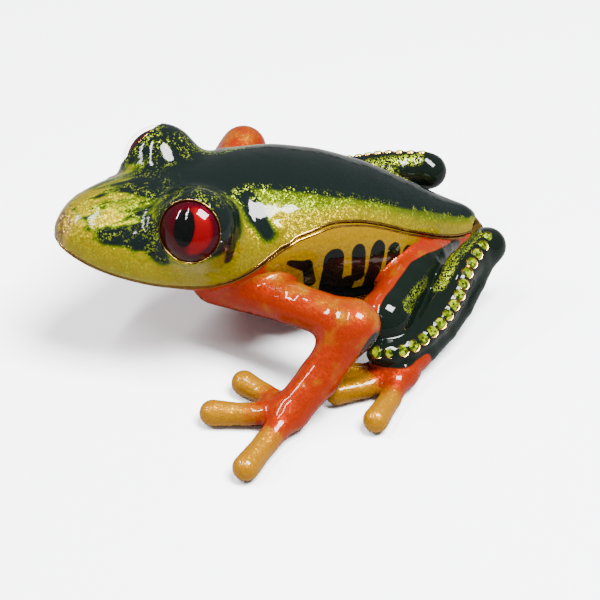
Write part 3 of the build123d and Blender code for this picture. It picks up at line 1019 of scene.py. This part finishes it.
base, base_points = skin_mesh("base_skin", base_distance, (-15, -39, 1), (15, 39, 26))
smooth_by_angle(base)
paint_base(base, base_points)
finish_piece(base, "base", base_material(), ["base_casting"])

lid_rim = rim_bead("lid_rim", SEAM_GAP / 2 + RIM_BEAD)
finish_piece(lid_rim, "lid", gold)
base_rim = rim_bead("base_rim", -SEAM_GAP / 2 - RIM_BEAD)
finish_piece(base_rim, "base", gold)


# ------------------------------------------------------------------ legs
# Glittering streaks of the hind leg, partly painted highlights where light catches its edges and grooves:
# start, end, radius.
GLITTER_HIGHLIGHT_STREAKS = [
    ((22.6, 14.0, 11.6), (17.2, 20.6, 12.8), 0.5), ((17.2, 20.6, 12.8), (12.4, 26.8, 12.2), 0.35),
    ((12.2, 31.5, 14.0), (18.6, 21.5, 10.8), 0.6),
]


def beside_line(points, start, end):
    """How far points lie along a line between two stations, and their offset square to it."""
    start, end = np.array(start[0]), np.array(end[0])
    axis = (end - start) / np.linalg.norm(end - start)
    offset = points - start
    t = offset @ axis
    return t, offset - t[:, None] * axis


def toe_tips(points, toes):
    """0 at the roots of the toes to 1 at their tips."""
    tips = np.zeros(len(points))
    for toe in toes:
        start, end = np.array(toe[0][0]), np.array(toe[-1][0])
        t = (points - start) @ (end - start) / ((end - start) @ (end - start))
        near = cone_distance(points, toe[1], toe[2]) < 0.9
        tips = np.maximum(tips, smoothstep(0.15, 0.9, t) * near)
    return tips


def paint_front_leg(piece, points):
    """Amber toes, a painted highlight in amber on the top of the elbow, and the dark line down the back of
    the forearm.
    """
    # Painted highlight: the top of the elbow is painted amber, as if lit from above, through the toes mask.
    lit_elbow_top = 0.32 * smoothstep(14.8, 18.4, points[:, 2])
    set_attribute(piece, "toes", np.maximum(toe_tips(points, FRONT_TOES), lit_elbow_top))
    rear = 0.50, 0.86, 0.10
    t, across = beside_line(points, ARM[2], ARM[3])
    height_fade = smoothstep(-3.5, 0.5, t) * smoothstep(13.0, 9.0, t)
    set_attribute(piece, "band", smoothstep(2.45, 3.05, across @ rear) * height_fade)
    set_attribute(piece, "glitter", np.zeros(len(points)))


def paint_hind_leg(piece, points):
    """Amber toes, orange foot and front of the thigh, dark thigh and shin with glittering edges that are
    partly painted highlights.
    """
    set_attribute(piece, "toes", toe_tips(points, HIND_TOES))
    foot = smoothstep(6.2, 4.8, np.linalg.norm(points - np.array(FOOT[0]), axis=1))
    toe_zone = np.full(len(points), 99.0)
    for toe in HIND_TOES:
        toe_zone = np.minimum(toe_zone, chain_distance(points, toe))
    foot = np.maximum(foot, smoothstep(1.2, 0.3, toe_zone)) * smoothstep(5.6, 4.4, points[:, 2])
    t, across = beside_line(points, THIGH[0], THIGH[2])
    front = across @ np.array((-0.62, -0.62, 0.48)) / np.maximum(np.linalg.norm(across, axis=1), 0.1)
    shin = chain_distance(points, SHIN)
    limit = np.interp(t, (0, 9, 16, 30), (-0.6, -0.1, 0.35, 0.45))
    front = smoothstep(limit, limit + 0.18, front) * smoothstep(0.3, 1.0, shin)
    set_attribute(piece, "band", 1 - np.maximum(foot, front))
    # Lime glitter streaks that are partly painted highlights along the thigh and shin.
    glitter = np.zeros(len(points))
    for start, end, radius in GLITTER_HIGHLIGHT_STREAKS:
        glitter = np.maximum(glitter, capsule_mask(points, start, end, radius, radius, 0.8))
    set_attribute(piece, "glitter", glitter)


for leg_name, field, low, high, paint, slot, upper in (
    ("front_leg", front_leg_distance, (-3, -24.5, -0.6), (42, 9, 21), paint_front_leg, "front_leg_enamel",
     FRONT_LEG_BAND),
    ("hind_leg", hind_leg_distance, (-4, -4.5, -0.6), (39.5, 38.5, 17), paint_hind_leg, "hind_leg_enamel",
     HIND_LEG_BLACK),
):
    left, left_points = skin_mesh(leg_name + "_skin_left", field, low, high)
    smooth_by_angle(left, 60)
    paint(left, left_points)
    right = mirror_piece(left, leg_name + "_skin_right")
    material = leg_material(slot, upper, ORANGE)
    finish_piece(left, "base", material, [leg_name + "_left"])
    finish_piece(right, "base", material, [leg_name + "_right"])


# ------------------------------------------------------------------ lathed pieces and stones
def frame_of(look):
    """Two directions square to a look, the second as upright as it can be."""
    across = np.cross((0, 0, 1), look)
    across /= np.linalg.norm(across)
    return across, np.cross(look, across)


def lathe(name, centre, look, profile, sides=64):
    """Solid turned about a look through a centre; its profile is (radius, height) pairs."""
    across, up = frame_of(look)
    work = bmesh.new()
    rings = []
    for radius, height in profile:
        if radius < 1e-6:
            rings.append([work.verts.new((centre + look * height) * MM)] * sides)
            continue
        ring = []
        for index in range(sides):
            angle = 2 * math.pi * index / sides
            spot = centre + look * height + radius * (math.cos(angle) * across + math.sin(angle) * up)
            ring.append(work.verts.new(spot * MM))
        rings.append(ring)
    for lower, upper in zip(rings[:-1], rings[1:]):
        for index in range(sides):
            after = (index + 1) % sides
            corners = []
            for vertex in (lower[index], lower[after], upper[after], upper[index]):
                if vertex not in corners:
                    corners.append(vertex)
            if len(corners) > 2:
                work.faces.new(corners)
    bmesh.ops.recalc_face_normals(work, faces=work.faces)
    mesh = bpy.data.meshes.new(name)
    work.to_mesh(mesh)
    work.free()
    return add_object(name, mesh)


def add_eyes():
    """Bezel, glass dome and iris on each side."""
    glass_look, iris_look = glass_material(), iris_material()
    dome_radius = (GLASS_RADIUS ** 2 + GLASS_DOME ** 2) / (2 * GLASS_DOME)
    sweep_angle = math.asin(GLASS_RADIUS / dome_radius)
    dome = [(0, -GLASS_RIM), (GLASS_RADIUS, -GLASS_RIM)]
    for step in range(13):
        angle = sweep_angle * (1 - step / 12)
        dome.append((dome_radius * math.sin(angle), GLASS_DOME - dome_radius * (1 - math.cos(angle))))
    bead = [(BEZEL_OUTER - BEZEL_BEAD * (1 - math.cos(a)), BEZEL_BEAD * math.sin(a))
            for a in np.linspace(-1.5, 2.8, 12)]
    foot = GLASS_RADIUS - BEZEL_LAP, -BEZEL_DEPTH
    bezel = [foot, (BEZEL_OUTER, -BEZEL_DEPTH)] + bead + [foot]
    disc = [(0, -GLASS_RIM - IRIS_BACK), (GLASS_RADIUS, -GLASS_RIM - IRIS_BACK)]
    for part in np.linspace(1, 0, 9):
        disc.append((GLASS_RADIUS * part, IRIS_CROWN * (1 - part ** 2) - GLASS_RIM - IRIS_GAP))
    for side, sign in (("left", 1), ("right", -1)):
        flip = np.array((sign, 1, 1))
        centre, look = EYE_CENTRE * flip, EYE_LOOK * flip
        glass = lathe("glass_" + side, centre, look, dome)
        smooth_by_angle(glass, 40)
        finish_piece(glass, "lid", glass_look, ["eye_glass_" + side])
        ring = lathe("bezel_" + side, centre, look, bezel)
        smooth_by_angle(ring, 50)
        finish_piece(ring, "lid", gold, ["eye_bezel_" + side])
        iris = lathe("iris_" + side, centre, look, disc)
        spots = np.array([v.co for v in iris.data.vertices]) / MM - centre
        across, up = frame_of(look)
        set_attribute(iris, "eye_across", sign * (spots @ across) / GLASS_RADIUS)
        set_attribute(iris, "eye_up", spots @ up / GLASS_RADIUS)
        finish_piece(iris, "lid", iris_look, ["eye_iris_" + side])


def join(name, parts):
    """Several pieces as one object."""
    bpy.ops.object.select_all(action="DESELECT")
    for part in parts:
        part.select_set(True)
    bpy.context.view_layer.objects.active = parts[0]
    bpy.ops.object.join()
    parts[0].name = name
    parts[0].data.name = name
    return parts[0]


def brilliant(name, centre, look, radius, seed):
    """Round-cut stone with a flat table and eight crown and pavilion mains."""
    profile = [(0, STONE_CROWN), (radius * STONE_TABLE, STONE_CROWN), (radius, 0.02), (radius, -0.06),
               (0, -STONE_POINT)]
    piece = lathe(name, centre, look, profile, sides=8)
    # Painted reflections: each facet gets a random brightness in place of the light it would catch.
    shades = np.random.default_rng(seed).random(len(piece.data.polygons))
    layer = piece.data.attributes.new("facet", "FLOAT", "FACE")
    layer.data.foreach_set("value", shades.astype(np.float32))
    return piece


def add_stones():
    """Row of set stones on each shin with its gold channel and cups."""
    spots = curve_points(STONE_CURVE, STONE_COUNT)
    path = curve_points(STONE_CURVE, 80) - STONE_FACING * CHANNEL_DROP
    inner, outer = STONE_RADIUS - CUP_LAP, STONE_RADIUS + CUP_WALL
    cup = [(inner, -0.3), (STONE_RADIUS, 0.04), (STONE_RADIUS + 0.10, 0.06), (outer, -0.08),
           (outer, -CUP_DEPTH), (inner, -CUP_DEPTH), (inner, -0.3)]
    stone_look = stone_material()
    for side, sign in (("left", 1), ("right", -1)):
        flip = np.array((sign, 1, 1))
        look = STONE_FACING * flip
        stones, cups = [], []
        for index, spot in enumerate(spots):
            name = f"stone_{side}_{index}"
            stones.append(brilliant(name, spot * flip, look, STONE_RADIUS, 2 * index + (sign > 0)))
            collar = lathe(f"cup_{side}_{index}", spot * flip, look, cup, sides=24)
            smooth_by_angle(collar, 50)
            cups.append(collar)
        cups.append(tube(f"channel_{side}", path * flip, CHANNEL_RADIUS, 16))
        stone_row = join("stone_row_" + side, stones)
        finish_piece(stone_row, "base", stone_look, ["stones_" + side])
        setting = join("stone_setting_" + side, cups)
        finish_piece(setting, "base", gold, ["stone_channel_" + side])


add_eyes()
add_stones()

# ------------------------------------------------------------------ CAD pieces that keep their shape
magnet = magnet_material()
for node, finish in (("locating_lip", gold), ("hinge_base_leaf", gold), ("hinge_lid_leaf", gold),
                     ("hinge_pin", gold), ("base_magnet", magnet), ("lid_magnet", magnet)):
    for material_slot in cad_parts[node].material_slots:
        material_slot.material = finish
